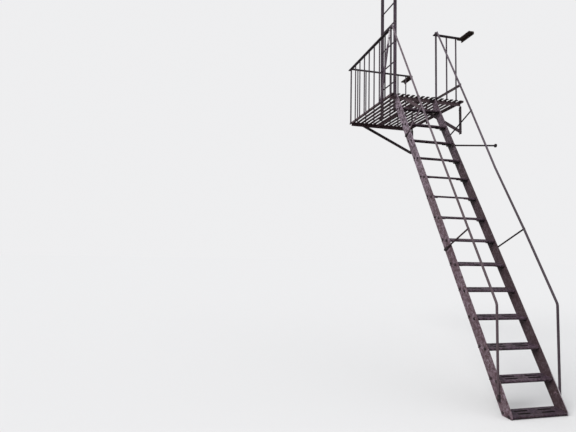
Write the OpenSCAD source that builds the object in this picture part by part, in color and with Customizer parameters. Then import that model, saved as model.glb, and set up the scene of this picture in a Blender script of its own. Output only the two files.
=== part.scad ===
// Fire escape stair: a slatted balcony on two wall brackets, a steep open stair
// down from its near end, and a fixed roof ladder that stands on the balcony.
// The wall is the plane y = 0, the stair descends towards +X, and Z is up.
// The origin is the middle of the near bracket's wall leg, on its wall face.

/* [Balcony] */
// Height of the walking surface above the near bracket's bolt centre
floor_height = 240; // [200:1:300]
// Length of the frame, over the outer faces of its two end bars
frame_length = 1342; // [1000:1:2000]
// Distance from the wall to the outer face of the outer edge bar
balcony_depth = 1070; // [950:1:1200]
// Free gap between the wall and the inner edge bar
wall_gap = 8; // [8:1:8]
// Width of a floor slat
slat_width = 38; // [25:1:45]
// Thickness of a floor slat
slat_thickness = 10; // [6:1:12]
// Distance from one floor slat to the next
slat_pitch = 71; // [60:1:90]
// How far the slats run past each end bar
slat_overhang = 60; // [20:1:80]
// Depth of the frame's edge bars below the slats
edge_drop = 15; // [10:1:40]
// Leg of the angle bars in the frame
angle_leg = 50; // [40:1:60]
// Thickness of the angle bars
angle_thickness = 6; // [4:1:10]
// Distance from the wall to the middle of the floor joist
joist_reach = 640; // [500:1:800]

/* [Brackets] */
// How far the wall leg runs below the walking surface
bracket_drop = 440; // [400:1:600]
// Depth of the wall leg's web, out from the wall
bracket_leg_depth = 28; // [26:1:50]
// Width of the bracket's slanting brace
brace_width = 44; // [25:1:50]
// Thickness of the bracket's slanting brace
brace_thickness = 8; // [5:1:12]
// Free space between the outer stringer's clip and the head of the slanting brace
brace_clearance = 43; // [20:1:120]
// Distance between the two wall bolts of a bracket
bolt_spacing = 260; // [200:1:300]
// Diameter of the wall bolt holes
bolt_hole = 14; // [10:1:18]

/* [Railing] */
// Height of the top rails above the walking surface
rail_height = 875; // [800:1:1100]
// Width of the flat top rails
rail_width = 44; // [25:1:50]
// Thickness of the flat top rails
rail_thickness = 12; // [6:1:14]
// How far the near top rail runs on past the post at the head of the stair
rail_overhang = 20; // [0:1:40]
// Side of the square balusters
baluster_size = 14; // [10:1:18]
// Distance from one baluster to the next
baluster_pitch = 172; // [150:1:200]
// Side of the corner posts
post_size = 18; // [14:1:30]
// Diameter of the knob on a post
knob_diameter = 34; // [28:1:44]
// Width of the flat brace that steadies the near corner post
corner_brace_width = 50; // [38:1:55]
// Distance along the railing from the near corner post to the foot of its brace
corner_brace_span = 258; // [200:1:300]
// From the top rail down to the head of the corner brace
corner_brace_drop = 40; // [38:1:100]
// Length of the angle cleats on the wall that carry the ends of the top rails
rail_plate_length = 260; // [230:1:350]
// Depth of the level leg of those cleats, out from the wall
rail_plate_depth = 76; // [50:1:90]
// Height of the cleats' leg that hangs down on the wall
rail_plate_leg = 36; // [34:1:50]
// Height of the flat bar on the wall above the walking surface
wall_bar_height = 245; // [150:1:400]
// Width of the flat bar on the wall
wall_bar_width = 38; // [30:1:50]
// From an end of the flat bar on the wall to its bolt hole
wall_bar_inset = 100; // [60:1:150]

/* [Stair] */
// Number of treads
tread_count = 14; // [14:1:14]
// From the walking surface down to the first tread
first_drop = 204; // [190:1:230]
// Rise from one tread to the next
riser = 245; // [235:1:250]
// Run from one tread to the next
going = 144; // [135:1:155]
// From the end bar's face to the front of the first tread
first_going = 163; // [155:1:200]
// From the outer edge bar's face in to the middle of the outer stringer
stair_inset = 86; // [60:1:110]
// Distance between the middles of the two stringers
stair_width = 550; // [500:1:600]
// Width of the flat bar stringers
stringer_width = 120; // [100:1:130]
// Thickness of the flat bar stringers
stringer_thickness = 8; // [6:1:12]
// Depth of a tread from front to back
tread_depth = 136; // [125:1:150]
// Thickness of the tread plate
tread_thickness = 5; // [3:1:8]
// Height of the tread's turned-down edges
tread_lip = 20; // [18:1:30]
// Angle by which the treads slope down to the front
tread_tilt = 9; // [0:1:12]
// Outer radius of the tread's bends
tread_bend = 9; // [6:1:12]
// Length of a slot in a tread
slot_length = 130; // [80:1:150]
// Width of a slot in a tread
slot_width = 14; // [8:1:20]
// Height of the last tread's top above the ground
last_step_height = 34; // [34:1:120]
// Level leg of the angle cleats under the treads
cleat_leg = 70; // [40:1:80]
// Upright leg of the angle cleats under the treads
cleat_drop = 16; // [12:1:40]

/* [Handrails] */
// Diameter of the handrail bar
handrail_diameter = 22; // [18:1:30]
// From the front of the last tread back to the outer handrail's upright end
outer_rail_back = 144; // [100:1:200]
// From the front of the last tread back to the inner handrail's upright end
inner_rail_back = 93; // [80:1:160]
// Radius of the handrail's bend
handrail_bend = 80; // [60:1:250]
// Down the stringer, from the balcony to the first rod under the handrail
rod_start = 700; // [600:1:800]
// Down the stringer, from the first rod to the second
rod_spacing = 1633; // [1400:1:1800]
// How far the inner handrail sags between its two rods
rail_sag = 18; // [0:1:30]
// Height at which the handrail turns upright, above the ground
handrail_turn = 923; // [800:1:1100]
// Diameter of the rods that carry the handrails
rod_diameter = 16; // [12:1:20]
// Angle by which the rods lean down from square to the stair
rod_lean = 5; // [0:1:10]
// Diameter of the wall tie
tie_diameter = 20; // [14:1:26]
// Depth of the wall tie below the walking surface, at the stair
tie_drop = 737; // [700:1:800]
// How far the tie falls from the stair to the wall
tie_fall = 20; // [0:1:40]
// How far along the wall the tie runs from the stair to its flange
tie_run = 220; // [100:1:300]

/* [Ladder] */
// Distance from the wall to the middle of the ladder
ladder_reach = 684; // [600:1:740]
// Distance from the end bar's face to the nearer ladder rail
ladder_inset = 600; // [500:1:700]
// Width of the ladder between its rails
ladder_width = 412; // [380:1:450]
// Width of the ladder's flat rails
ladder_bar = 50; // [45:1:65]
// Thickness of the ladder's flat rails
ladder_bar_thickness = 10; // [8:1:14]
// Distance from one rung to the next
rung_pitch = 305; // [280:1:320]
// Diameter of a rung
rung_diameter = 20; // [16:1:25]
// Height of the first rung above the walking surface
first_rung = 140; // [120:1:200]
// Height of the roof edge above the walking surface
roof_height = 2900; // [2600:1:3200]
// How far the rails rise above the roof edge before they arch over
arch_rise = 700; // [500:1:900]
// How far behind the wall face the arched rails land on the roof edge
roof_landing = 60; // [50:1:120]
// From the roof edge down to the ladder's wall stays
stay_drop = 300; // [200:1:500]

/* [Hidden] */
$fn = 48;

// Clearance between a round piece and the flat face that it is fixed on
seat = 0.3;
// Clearance between the slats and the edge bars
slat_play = 2;
// How far a cutting form runs past the faces that it cuts through
over = 1;
// Places of the two bolt holes along a rail's cleat, as shares of its length
plate_holes = [0.25, 0.65];
// Places of a tread's slots, as shares of its depth and of its width, from its middle
slot_rows = [-0.15, 0.17];
slot_places = [-0.22, 0.22];
floor_z = floor_height;
slat_under = floor_z - slat_thickness;
edge_bottom = slat_under - edge_drop;
ground_z = floor_z - first_drop - riser * (tread_count - 1) - last_step_height;
near_x = angle_leg / 2;
far_x = near_x - frame_length;
inner_bar_y = -wall_gap - brace_thickness;
outer_bar_y = -balcony_depth + brace_thickness;
slat_run = balcony_depth - wall_gap - 2 * brace_thickness - 2 * slat_play;
slat_count = floor((slat_run - slat_width) / slat_pitch) + 1;
slat_first = inner_bar_y - slat_play - slat_width / 2
    - (slat_run - slat_width - slat_pitch * (slat_count - 1)) / 2;
slope = atan(riser / going);
outer_y = -balcony_depth + stair_inset;
inner_y = outer_y + stair_width;
brace_head_y = outer_y + stringer_thickness / 2 + angle_leg + brace_clearance + brace_width / 2;
post_x = near_x + slat_overhang - post_size;
rail_end = post_x + (post_size + knob_diameter) / 2;
near_rail_x = rail_end - rail_width / 2;
outer_post_y = -balcony_depth - post_size / 2;
rail_offset = stringer_thickness / 2 + seat + handrail_diameter / 2;
inner_post_y = inner_y + rail_offset;
rod_places = [rod_start, rod_start + rod_spacing];
rail_top = floor_z + rail_height;
paint = "#7a5f63";
dark_paint = "#4a3236";
rust = "#5a2f22";

// Front and top of a tread, and the stringers' middle line, which runs through the treads' middles
function tread_x(k) = near_x + first_going + going * (k - 1);
function tread_z(k) = floor_z - first_drop - riser * (k - 1);
function line_x(z) = tread_x(1) - tread_depth / 2 + (tread_z(1) - z) * going / riser;
function line_z(x) = tread_z(1) - (x - tread_x(1) + tread_depth / 2) * riser / going;
function slat_y(i) = slat_first - i * slat_pitch;
// A point beside the stair: measured down the stringer's middle line, and square out from it
function stair_point(down, out) = [
    line_x(floor_z) + down * cos(slope) + out * sin(slope),
    floor_z - down * sin(slope) + out * cos(slope)];

// Box given by its low corner and its size
module block(low, size) {
    translate(low) cube(size);
}

// Outline drawn in the X-Z plane, extruded to both sides of y
module upright(y, thickness) {
    translate([0, y + thickness / 2, 0])
        rotate([90, 0, 0])
            linear_extrude(thickness) children();
}

// Outline drawn in the Y-Z plane, extruded along X from x
module across(x, thickness) {
    translate([x, 0, 0])
        rotate([90, 0, 90])
            linear_extrude(thickness) children();
}

// Round rod between two points
module rod(from, to, d) {
    v = to - from;
    l = norm(v);
    translate(from)
        rotate([0, acos(v[2] / l), atan2(v[1], v[0])])
            cylinder(d = d, h = l);
}

// Round bar bent in the X-Z plane, along the points of its middle line, cut plumb at the first
module bent_bar(path, d, sides = 16) {
    last = len(path) - 1;
    function square_out(i) =
        let (v = path[min(i + 1, last)] - path[max(i - 1, 0)])
            i == 0 ? [0, norm(v) / v[0]] : [-v[1], v[0]] / norm(v);
    points = [
        for (i = [0 : last], k = [0 : sides - 1])
            let (p = path[i] + square_out(i) * cos(360 * k / sides) * d / 2)
                [p[0], sin(360 * k / sides) * d / 2, p[1]]];
    sleeve = [
        for (i = [0 : last - 1], k = [0 : sides - 1])
            let (a = i * sides, b = (k + 1) % sides) [a + k, a + sides + k, a + sides + b, a + b]];
    ends = [[for (k = [0 : sides - 1]) k], [for (k = [sides - 1 : -1 : 0]) last * sides + k]];
    polyhedron(points, concat(sleeve, ends));
}

// Balcony floor and frame
module floor_slats() {
    color(dark_paint)
        for (i = [0 : slat_count - 1])
            block([far_x - slat_overhang, slat_y(i) - slat_width / 2, slat_under],
                  [frame_length + 2 * slat_overhang, slat_width, slat_thickness]);
}

// Angle bar across the balcony: its upright leg faces out, its flat leg carries the slats
module end_bar(face, side) {
    low = side > 0 ? face - angle_thickness : face;
    flat = side > 0 ? face - angle_leg : face;
    bar_low = outer_bar_y;
    bar_high = inner_bar_y;
    block([low, bar_low, slat_under - angle_leg], [angle_thickness, bar_high - bar_low, angle_leg]);
    block([flat, bar_low, slat_under - angle_thickness], [angle_leg, bar_high - bar_low, angle_thickness]);
}
module end_bar_near() { color(paint) end_bar(near_x, 1); }
module end_bar_far() { color(paint) end_bar(far_x, -1); }

module edge_bar(y) {
    block([far_x - slat_overhang, y, edge_bottom],
          [frame_length + 2 * slat_overhang, brace_thickness, floor_z - edge_bottom]);
}
module edge_bar_outer() { color(paint) edge_bar(-balcony_depth); }
module edge_bar_wall() { color(paint) edge_bar(inner_bar_y); }

module floor_joist() {
    length = frame_length - 2 * angle_thickness;
    drop = slat_under - angle_thickness;
    color(dark_paint) {
        block([far_x + angle_thickness, -joist_reach, drop - angle_leg + angle_thickness],
              [length, angle_thickness, angle_leg - angle_thickness]);
        block([far_x + angle_leg, -joist_reach, drop],
              [frame_length - 2 * angle_leg, angle_leg, angle_thickness]);
    }
}

// Wall brackets
module bracket_leg(face, side) {
    top = slat_under - angle_leg - seat;
    bottom = floor_z - bracket_drop;
    web = side > 0 ? face - angle_thickness : face;
    flat = side > 0 ? face - angle_leg : face;
    difference() {
        union() {
            block([flat, -angle_thickness, bottom], [angle_leg, angle_thickness, top - bottom]);
            block([web, -bracket_leg_depth, bottom], [angle_thickness, bracket_leg_depth, top - bottom]);
        }
        for (z = [-1, 1])
            translate([flat + angle_leg / 2, over, z * bolt_spacing / 2])
                rotate([90, 0, 0]) cylinder(d = bolt_hole, h = angle_thickness + 2 * over);
    }
}
module bracket_leg_near() { color(dark_paint) bracket_leg(near_x, 1); }
module bracket_leg_far() { color(dark_paint) bracket_leg(far_x, -1); }

module bracket_brace(x) {
    half = brace_width / 2;
    top = [brace_head_y, slat_under - angle_leg / 2];
    foot = [-angle_leg / 2, floor_z - bracket_drop + angle_leg / 2];
    run = norm(foot - top);
    across(x, brace_thickness)
        translate(top)
            rotate(atan2(foot[1] - top[1], foot[0] - top[0])) {
                translate([0, -half]) square([run, brace_width]);
                circle(half);
                translate([run, 0]) circle(half);
            }
}
module bracket_brace_near() { color(dark_paint) bracket_brace(near_x); }
module bracket_brace_far() { color(dark_paint) bracket_brace(far_x - brace_thickness); }

// Railings
module corner_post(x) {
    block([x, -balcony_depth - post_size, edge_bottom],
          [post_size, post_size, rail_top - rail_thickness - edge_bottom]);
}
// Turned knob, which holds a top rail down on its post
module knob(x, y) {
    r = knob_diameter / 2;
    translate([x, y, rail_top])
        rotate_extrude()
            polygon([[0, 0], [0.75 * r, 0], [r, 0.4 * r], [r, 1.2 * r],
                     [0.75 * r, 1.75 * r], [0.35 * r, 2 * r], [0, 2.05 * r]]);
}
module corner_post_near() {
    color(paint) corner_post(post_x);
    color(paint) knob(post_x + post_size / 2, outer_post_y);
}
module corner_post_far() { color(paint) corner_post(far_x); }

module front_top_rail() {
    color(paint)
        block([far_x - slat_overhang, outer_post_y - rail_width / 2, rail_top - rail_thickness],
              [rail_end - far_x + slat_overhang, rail_width, rail_thickness]);
}

module front_balusters() {
    first = post_x - baluster_pitch;
    last = far_x + post_size + baluster_pitch / 3;
    color(paint)
        for (x = [first : -baluster_pitch : last])
            block([x, -balcony_depth - baluster_size, edge_bottom],
                  [baluster_size, baluster_size, rail_top - rail_thickness - edge_bottom]);
}

// Flat bar that steadies the near corner post, slanting down along the outside of the railing
module corner_brace() {
    y = -balcony_depth - post_size - brace_thickness / 2;
    head = [post_x, rail_top - corner_brace_drop];
    foot = [post_x - corner_brace_span, edge_bottom];
    run = norm(head - foot);
    half = corner_brace_width / 2;
    color(paint) {
        upright(y, brace_thickness)
            translate(foot)
                rotate(atan2(head[1] - foot[1], head[0] - foot[0])) {
                    translate([0, -half]) square([run, corner_brace_width]);
                    circle(half);
                    translate([run, 0]) circle(half);
                }
        block([foot[0] - half, -balcony_depth - post_size, foot[1] - half],
              [corner_brace_width, post_size, corner_brace_width]);
    }
}

// Railing across an end of the balcony: x is its middle, and its balusters stand on the slats
module end_top_rail(x, from) {
    block([x - rail_width / 2, from, rail_top - rail_thickness],
          [rail_width, -from, rail_thickness]);
}
module end_balusters(x, slats) {
    for (i = slats)
        block([x - baluster_size / 2, slat_y(i) - baluster_size / 2, floor_z],
              [baluster_size, baluster_size, rail_height - rail_thickness]);
}
module far_top_rail() {
    color(paint) end_top_rail(far_x + post_size / 2, outer_post_y + rail_width / 2);
}
module far_balusters() {
    color(paint) end_balusters(far_x + post_size / 2, [1 : 2 : slat_count - 2]);
}
module near_top_rail() {
    color(paint) end_top_rail(near_rail_x, inner_post_y - post_size / 2 - rail_overhang);
}
module near_balusters() {
    stair_side = floor((slat_first - inner_post_y - 2 * post_size) / slat_pitch);
    color(paint) end_balusters(near_rail_x, [1 : 2 : stair_side]);
}
// Post at the head of the stair, on a foot plate that bridges the gap between two slats
module stair_post() {
    plate = [post_size + angle_thickness, slat_pitch + 2 * angle_thickness, angle_thickness];
    color(paint) {
        block([post_x - angle_thickness, inner_post_y - plate[1] / 2, floor_z], plate);
        block([post_x, inner_post_y - post_size / 2, floor_z],
              [post_size, post_size, rail_height - rail_thickness]);
        knob(post_x + post_size / 2, inner_post_y);
    }
}

// Angle cleat on the wall: the end of a top rail lies on its level leg, and the bolts go through
// the leg that hangs down. From is where the cleat begins, and side is the way that it runs.
module rail_cleat(from, side) {
    seat_z = rail_top - rail_thickness;
    low = side > 0 ? from : from - rail_plate_length;
    hole_z = seat_z - (rail_plate_leg + rail_thickness) / 2;
    difference() {
        union() {
            block([low, -rail_plate_depth, seat_z - rail_thickness],
                  [rail_plate_length, rail_plate_depth, rail_thickness]);
            block([low, -rail_thickness, seat_z - rail_plate_leg],
                  [rail_plate_length, rail_thickness, rail_plate_leg]);
        }
        for (share = plate_holes)
            translate([from + side * share * rail_plate_length, over, hole_z])
                rotate([90, 0, 0]) cylinder(d = bolt_hole, h = rail_thickness + 2 * over);
    }
}
module rail_wall_plates() {
    color(rust) {
        rail_cleat(near_rail_x - rail_width / 2, 1);
        rail_cleat(far_x + (post_size + rail_width) / 2, -1);
    }
}

module wall_bar() {
    z = floor_z + wall_bar_height;
    color(rust)
        difference() {
            union() {
                block([far_x, -brace_thickness, z - wall_bar_width / 2],
                      [frame_length, brace_thickness, wall_bar_width]);
                for (x = [far_x, far_x + frame_length / 3])
                    block([x, -brace_thickness, slat_under - angle_leg],
                          [wall_bar_width, brace_thickness, z - slat_under + angle_leg]);
            }
            for (x = [far_x + wall_bar_inset, near_x - wall_bar_inset])
                translate([x, over, z])
                    rotate([90, 0, 0]) cylinder(d = bolt_hole, h = brace_thickness + 2 * over);
        }
}

// Stair stringers: flat bars, cut level under the slats and on the ground, and plumb at both ends
module stringer(y) {
    length = (tread_count + 3) * norm([going, riser]);
    upright(y, stringer_thickness)
        intersection() {
            translate([line_x(floor_z), floor_z])
                rotate(-slope)
                    translate([-stringer_width, -stringer_width / 2]) square([length, stringer_width]);
            translate([near_x, ground_z])
                square([tread_x(tread_count) - near_x, slat_under - ground_z]);
        }
}
module stringer_outer() { color(paint) stringer(outer_y); }
module stringer_inner() { color(paint) stringer(inner_y); }

// Small angles that hold the stringers on the end bar
module stringer_clips() {
    inside = stringer_thickness / 2;
    color(dark_paint)
        for (s = [[outer_y + inside, 1], [inner_y - inside, -1]]) {
            y = s[1] > 0 ? s[0] : s[0] - angle_leg;
            web = s[1] > 0 ? s[0] : s[0] - angle_thickness;
            block([near_x, y, slat_under - angle_leg], [angle_thickness, angle_leg, angle_leg - 2]);
            block([near_x, web, slat_under - angle_leg], [angle_leg, angle_thickness, angle_leg - 2]);
        }
}

// Section of a tread: a sheet's top with a bend at the front and back edge, open below
module tread_outline(half, top, bottom, r) {
    translate([-half, bottom]) square([2 * half, top - r - bottom]);
    translate([r - half, bottom]) square([2 * (half - r), top - bottom]);
    for (x = [r - half, half - r])
        translate([x, top - r]) circle(r);
}
// Places its children on a tread's middle, with X to the tread's front and Z out of its top
module on_tread(k) {
    translate([tread_x(k) - tread_depth / 2, outer_y + stair_width / 2, tread_z(k)])
        rotate([0, tread_tilt, 0]) children();
}
// Tread: a slotted sheet pressed into a shallow pan, all of its edges turned down
module tread(k) {
    half = tread_depth / 2;
    skin = tread_thickness;
    width = stair_width - stringer_thickness;
    color(paint)
        on_tread(k)
            difference() {
                upright(0, width)
                    tread_outline(half, 0, -tread_lip, tread_bend);
                upright(0, width - 2 * skin)
                    tread_outline(half - skin, -skin, -tread_lip - over, tread_bend - skin);
                for (row = slot_rows, place = slot_places)
                    translate([row * tread_depth, place * width, -skin - over])
                        linear_extrude(skin + 2 * over) {
                            square([slot_width, slot_length - slot_width], center = true);
                            for (end = [-1, 1])
                                translate([0, end * (slot_length - slot_width) / 2])
                                    circle(d = slot_width);
                        }
            }
}
module tread_01() { tread(1); }
module tread_02() { tread(2); }
module tread_03() { tread(3); }
module tread_04() { tread(4); }
module tread_05() { tread(5); }
module tread_06() { tread(6); }
module tread_07() { tread(7); }
module tread_08() { tread(8); }
module tread_09() { tread(9); }
module tread_10() { tread(10); }
module tread_11() { tread(11); }
module tread_12() { tread(12); }
module tread_13() { tread(13); }
module tread_14() { tread(14); }

// Angle cleats under both ends of every tread but the last, which lies on the ground
module tread_cleats() {
    length = 0.7 * tread_depth;
    end = (stair_width - stringer_thickness) / 2;
    color(dark_paint)
        for (k = [1 : tread_count - 1], side = [-1, 1]) {
            flat = side > 0 ? end - cleat_leg : -end;
            web = side > 0 ? end - angle_thickness : -end;
            on_tread(k)
                translate([-length / 2, 0, -tread_lip - angle_thickness]) {
                    block([0, flat, 0], [length, cleat_leg, angle_thickness]);
                    block([0, web, angle_thickness - cleat_drop],
                          [length, angle_thickness, cleat_drop]);
                }
        }
}

// Handrails: bars from beside the knobs down to the stringers' outer sides, then upright to the
// stringers. Each is given by the side it lies on, its stringer, the place of its upper end across
// the stair, how far back it ends, and its sag. Its rods lie under the line from rail_start to its
// turn, and its upper end stands above that line, at the knob's height.
outer_rail = [-1, outer_y, outer_post_y + handrail_diameter / 2, outer_rail_back, 0];
inner_rail = [1, inner_y, inner_post_y + handrail_diameter / 2, inner_rail_back, rail_sag];
rail_start = [rail_end, rail_top - 0.4 * handrail_diameter];
rail_head_z = rail_top + knob_diameter / 2;
turn_z = ground_z + handrail_turn;
function rail_x(rail) = tread_x(tread_count) - rail[3];
function rail_foot_y(rail) = rail[1] + rail[0] * rail_offset;
function rail_slope(rail) = atan2(rail_start[1] - turn_z, rail_x(rail) - rail_start[0]);
// Distance from a point out to the handrail, along the direction of the rods
function rail_reach(rail, p) =
    ((rail_x(rail) - p[0]) * sin(rail_slope(rail)) + (turn_z - p[1]) * cos(rail_slope(rail)))
    / cos(rail_slope(rail) - slope - rod_lean);
function rail_y_at(rail, x) =
    rail[2] + (rail_foot_y(rail) - rail[2]) * (x - rail_start[0]) / (rail_x(rail) - rail_start[0]);

// Point of the handrail's line over the rod that stands at a distance down the stair
function rail_rest(rail, down) =
    let (bolt = stair_point(down, 0), lean = 90 - slope - rod_lean)
        bolt + rail_reach(rail, bolt) * [cos(lean), sin(lean)];

module handrail(rail) {
    run = [rail_x(rail) - rail_start[0], rail_foot_y(rail) - rail[2]];
    length = norm(run) - seat;
    rests = [
        for (down = rod_places)
            let (p = rail_rest(rail, down)) [(p[0] - rail_start[0]) * norm(run) / run[0] - seat, p[1]]];
    middle = (rests[0] + rests[1]) / 2 - [0, rail[4] / cos(rail_slope(rail))];
    turn = 90 - atan2(rail_start[1] - turn_z, length);
    reach = handrail_bend * tan(turn / 2);
    centre = [length - handrail_bend, turn_z - reach];
    steps = 8;
    bend = [
        for (i = [steps : -1 : 0])
            let (a = turn * i / steps) centre + handrail_bend * [cos(a), sin(a)]];
    color(paint)
        translate([rail_start[0] + seat, rail[2], 0])
            rotate([0, 0, atan2(run[1], run[0])])
                bent_bar(concat([[0, rail_head_z], rests[0], middle, rests[1]], bend,
                                [[length, line_z(rail_x(rail))]]),
                         handrail_diameter);
}
module handrail_outer() { handrail(outer_rail); }
module handrail_inner() { handrail(inner_rail); }

// Rods from the stringers out to the handrails, each forged flat where it crosses its stringer
module handrail_rods() {
    lean = 90 - slope - rod_lean;
    flat_thickness = rod_diameter / 2;
    tail = 0.4 * stringer_width;
    color(paint)
        for (down = rod_places, rail = [outer_rail, inner_rail]) {
            bolt = stair_point(down, 0);
            face = rail[1] + rail[0] * stringer_thickness / 2;
            tilt = abs(rail_slope(rail) - slope - rod_lean);
            reach = rail_reach(rail, bolt) - 2 * seat
                - (handrail_diameter / cos(tilt) + rod_diameter * tan(tilt)) / 2;
            head = bolt + reach * [cos(lean), sin(lean)];
            rod([bolt[0], face + rail[0] * (rod_diameter / 2 + seat), bolt[1]],
                [head[0], rail_y_at(rail, head[0]), head[1]], rod_diameter);
            upright(face + rail[0] * flat_thickness / 2, flat_thickness)
                translate(bolt)
                    rotate(lean) {
                        translate([-tail, -rod_diameter]) square([tail, 2 * rod_diameter]);
                        for (end = [-tail, 0])
                            translate([end, 0]) circle(rod_diameter);
                    }
        }
}

// Flat lugs under the lower ends of the handrails, bolted on the stringers
module handrail_feet() {
    width = handrail_diameter + brace_thickness;
    color(dark_paint)
        for (rail = [outer_rail, inner_rail]) {
            face = rail[1] + rail[0] * stringer_thickness / 2;
            upright(face + rail[0] * brace_thickness / 2, brace_thickness)
                translate([rail_x(rail) - width / 2, line_z(rail_x(rail)) - stringer_width / 2])
                    square([width, stringer_width / 2]);
        }
}

// Rod from a pad on the inner stringer to a round flange on the wall
module wall_tie() {
    z = floor_z - tie_drop;
    x = line_x(z) + stringer_width / 3;
    face = inner_y + stringer_thickness / 2;
    color(dark_paint) {
        rod([x, face + brace_thickness / 2, z],
            [x + tie_run, -rail_thickness / 2, z - tie_fall], tie_diameter);
        translate([x, face, z]) rotate([-90, 0, 0]) cylinder(d = brace_width, h = brace_thickness);
        translate([x + tie_run, -rail_thickness, z - tie_fall])
            rotate([-90, 0, 0]) cylinder(d = brace_width, h = rail_thickness);
    }
}

// Roof ladder
module ladder_rail_pair() {
    for (x = [near_x - ladder_inset, near_x - ladder_inset - ladder_width - ladder_bar_thickness])
        translate([x - ladder_bar_thickness, 0, 0]) children();
}
module ladder_rails() {
    color(paint)
        ladder_rail_pair()
            block([0, -ladder_reach - ladder_bar / 2, floor_z],
                  [ladder_bar_thickness, ladder_bar, roof_height + arch_rise]);
}
module ladder_rungs() {
    right = near_x - ladder_inset - ladder_bar_thickness;
    color(paint)
        for (z = [first_rung : rung_pitch : roof_height + arch_rise - rung_pitch / 3])
            translate([right, -ladder_reach, floor_z + z])
                rotate([0, -90, 0]) cylinder(d = rung_diameter, h = ladder_width);
}
module ladder_feet() {
    right = near_x - ladder_inset;
    left = right - ladder_width - 2 * ladder_bar_thickness;
    low = -ladder_reach - ladder_bar / 2;
    color(dark_paint)
        for (foot = [[right, right], [left - angle_leg, left - angle_thickness]]) {
            block([foot[0], low, floor_z], [angle_leg, ladder_bar, angle_thickness]);
            block([foot[1], low, floor_z], [angle_thickness, ladder_bar, angle_leg]);
        }
}
module ladder_arches() {
    radius = (ladder_reach + roof_landing) / 2;
    color(paint)
        ladder_rail_pair()
            translate([0, -ladder_reach + radius, floor_z + roof_height + arch_rise])
                rotate([90, 0, 90])
                    rotate_extrude(angle = 180)
                        translate([radius - ladder_bar / 2, 0]) square([ladder_bar, ladder_bar_thickness]);
}
module ladder_landings() {
    color(paint)
        ladder_rail_pair() {
            block([0, roof_landing - ladder_bar / 2, floor_z + roof_height + angle_thickness],
                  [ladder_bar_thickness, ladder_bar, arch_rise - angle_thickness]);
            block([-angle_leg / 2, roof_landing - ladder_bar / 2, floor_z + roof_height],
                  [angle_leg + ladder_bar_thickness, ladder_bar, angle_thickness]);
        }
}
// Flat stays from the ladder's rails to the wall, each with a foot turned up on the wall
module ladder_stays() {
    right = near_x - ladder_inset;
    left = right - ladder_width - 2 * ladder_bar_thickness;
    z = floor_z + roof_height - stay_drop;
    color(paint)
        for (stay = [[right, right], [left - brace_thickness, left - angle_leg]]) {
            block([stay[0], -ladder_reach, z], [brace_thickness, ladder_reach, brace_width]);
            difference() {
                block([stay[1], -angle_thickness, z], [angle_leg, angle_thickness, brace_width]);
                translate([stay[1] + angle_leg / 2, over, z + brace_width / 2])
                    rotate([90, 0, 0]) cylinder(d = bolt_hole, h = angle_thickness + 2 * over);
            }
        }
}

floor_slats();
end_bar_near();
end_bar_far();
edge_bar_outer();
edge_bar_wall();
floor_joist();
bracket_leg_near();
bracket_leg_far();
bracket_brace_near();
bracket_brace_far();
corner_post_near();
corner_post_far();
front_top_rail();
front_balusters();
corner_brace();
far_top_rail();
far_balusters();
near_top_rail();
near_balusters();
stair_post();
rail_wall_plates();
wall_bar();
stringer_outer();
stringer_inner();
stringer_clips();
tread_01();
tread_02();
tread_03();
tread_04();
tread_05();
tread_06();
tread_07();
tread_08();
tread_09();
tread_10();
tread_11();
tread_12();
tread_13();
tread_14();
tread_cleats();
handrail_outer();
handrail_inner();
handrail_rods();
handrail_feet();
wall_tie();
ladder_rails();
ladder_rungs();
ladder_feet();
ladder_arches();
ladder_landings();
ladder_stays();
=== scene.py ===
import math

import bmesh
import bpy
from mathutils import Matrix, Vector


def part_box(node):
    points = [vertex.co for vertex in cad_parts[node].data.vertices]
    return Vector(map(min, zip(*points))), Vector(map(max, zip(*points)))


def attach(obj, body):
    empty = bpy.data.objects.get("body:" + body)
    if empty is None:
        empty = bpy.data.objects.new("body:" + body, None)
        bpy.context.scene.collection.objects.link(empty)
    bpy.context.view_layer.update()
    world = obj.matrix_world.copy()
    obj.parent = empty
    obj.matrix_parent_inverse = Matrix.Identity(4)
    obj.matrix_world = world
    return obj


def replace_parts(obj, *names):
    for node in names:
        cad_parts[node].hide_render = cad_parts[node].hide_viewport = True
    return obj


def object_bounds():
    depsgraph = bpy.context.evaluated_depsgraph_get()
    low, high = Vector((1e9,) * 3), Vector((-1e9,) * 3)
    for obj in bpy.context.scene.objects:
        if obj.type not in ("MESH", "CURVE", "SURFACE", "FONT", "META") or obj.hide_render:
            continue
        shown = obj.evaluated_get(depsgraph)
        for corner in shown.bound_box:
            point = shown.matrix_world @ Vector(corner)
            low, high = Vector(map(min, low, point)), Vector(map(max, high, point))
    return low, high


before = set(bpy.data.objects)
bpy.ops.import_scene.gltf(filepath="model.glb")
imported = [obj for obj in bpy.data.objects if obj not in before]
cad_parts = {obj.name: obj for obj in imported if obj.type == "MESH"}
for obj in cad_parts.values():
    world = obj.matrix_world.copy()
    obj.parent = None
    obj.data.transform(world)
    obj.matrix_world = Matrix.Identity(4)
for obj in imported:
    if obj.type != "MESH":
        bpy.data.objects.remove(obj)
cad_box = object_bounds()


# Wall brackets: under each end of the balcony a leg of 50 mm rolled angle stands flat on the
# wall, held by two anchor bolts, and a flat brace runs from its foot up to the end bar.
# All of it is old maroon paint over iron, painted darker here under the floor than on the stair as
# painted shade.
class Tone:
    """A value, colour or vector on its way through the nodes of a finish."""

    def __init__(self, finish, socket):
        self.finish, self.socket = finish, socket

    def __add__(self, other):
        return self.finish.maths("ADD", self, other)

    def __radd__(self, other):
        return self.finish.maths("ADD", other, self)

    def __sub__(self, other):
        return self.finish.maths("SUBTRACT", self, other)

    def __rsub__(self, other):
        return self.finish.maths("SUBTRACT", other, self)

    def __mul__(self, other):
        return self.finish.maths("MULTIPLY", self, other)

    def __rmul__(self, other):
        return self.finish.maths("MULTIPLY", other, self)


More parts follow.
